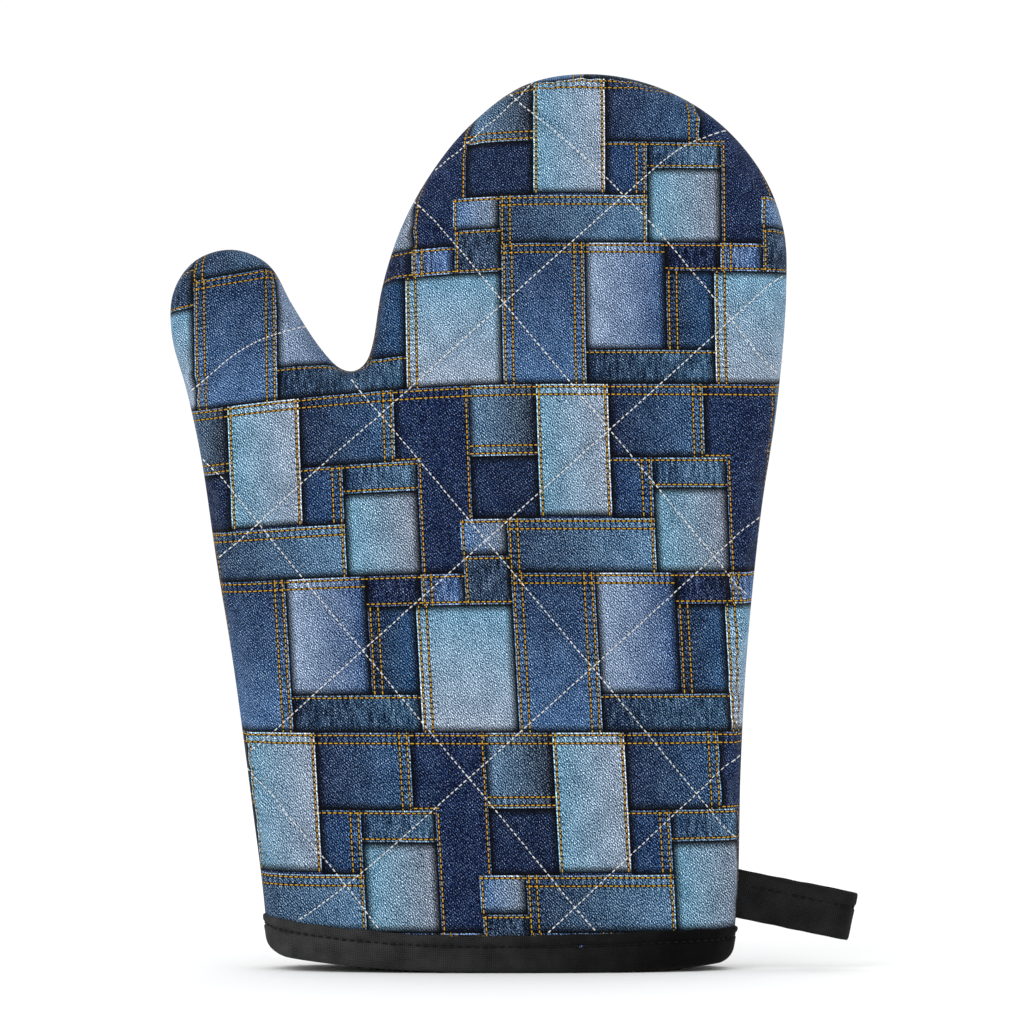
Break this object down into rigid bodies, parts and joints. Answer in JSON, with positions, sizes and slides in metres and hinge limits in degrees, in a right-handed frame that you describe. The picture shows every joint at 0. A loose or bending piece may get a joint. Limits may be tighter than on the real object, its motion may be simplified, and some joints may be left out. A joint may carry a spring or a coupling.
{
  "type": "oven mitt",
  "caption": "Quilted oven mitt with a thumb, a tape-bound cuff and a folded hanging loop, standing open on its cuff.",
  "frame": {"origin": "middle of the foot of the mitt's bounding box, on the surface the cuff stands on", "axes": "+Z from the cuff to the fingertips, +X from the thumb to the little finger and the hanging loop, -Y the front"},
  "size_m": [0.2157, 0.0576, 0.28],
  "materials": {
    "printed_cloth": "printed cotton twill",
    "wadding": "needled polyester wadding",
    "lining_cloth": "plain woven cotton",
    "black_tape": "ribbed cotton tape",
    "white_thread": "spun polyester thread",
    "black_thread": "spun polyester thread"
  },
  "bodies": {
    "mitt": {"shell_front": "printed_cloth", "shell_back": "printed_cloth", "wadding_front": "wadding", "wadding_back": "wadding", "lining_front": "lining_cloth", "lining_back": "lining_cloth", "cuff_binding": "black_tape", "cuff_binding_thread": "black_thread", "quilting_needle_thread_front": "white_thread", "quilting_needle_thread_back": "white_thread", "quilting_bobbin_thread_front": "white_thread", "quilting_bobbin_thread_back": "white_thread", "side_seam_thread": "white_thread", "seam_overlock": "white_thread", "loop_tail": "black_tape"},
    "loop": {"hanging_loop": "black_tape", "loop_topstitching": "black_thread"}
  },
  "joints": [
    {"name": "loop_swing", "type": "hinge", "parent": "mitt", "child": "loop", "pos_m": [0.0719, 0, 0.024], "axis": [0, 0, 1], "range_deg": [-100, 100]}
  ]
}
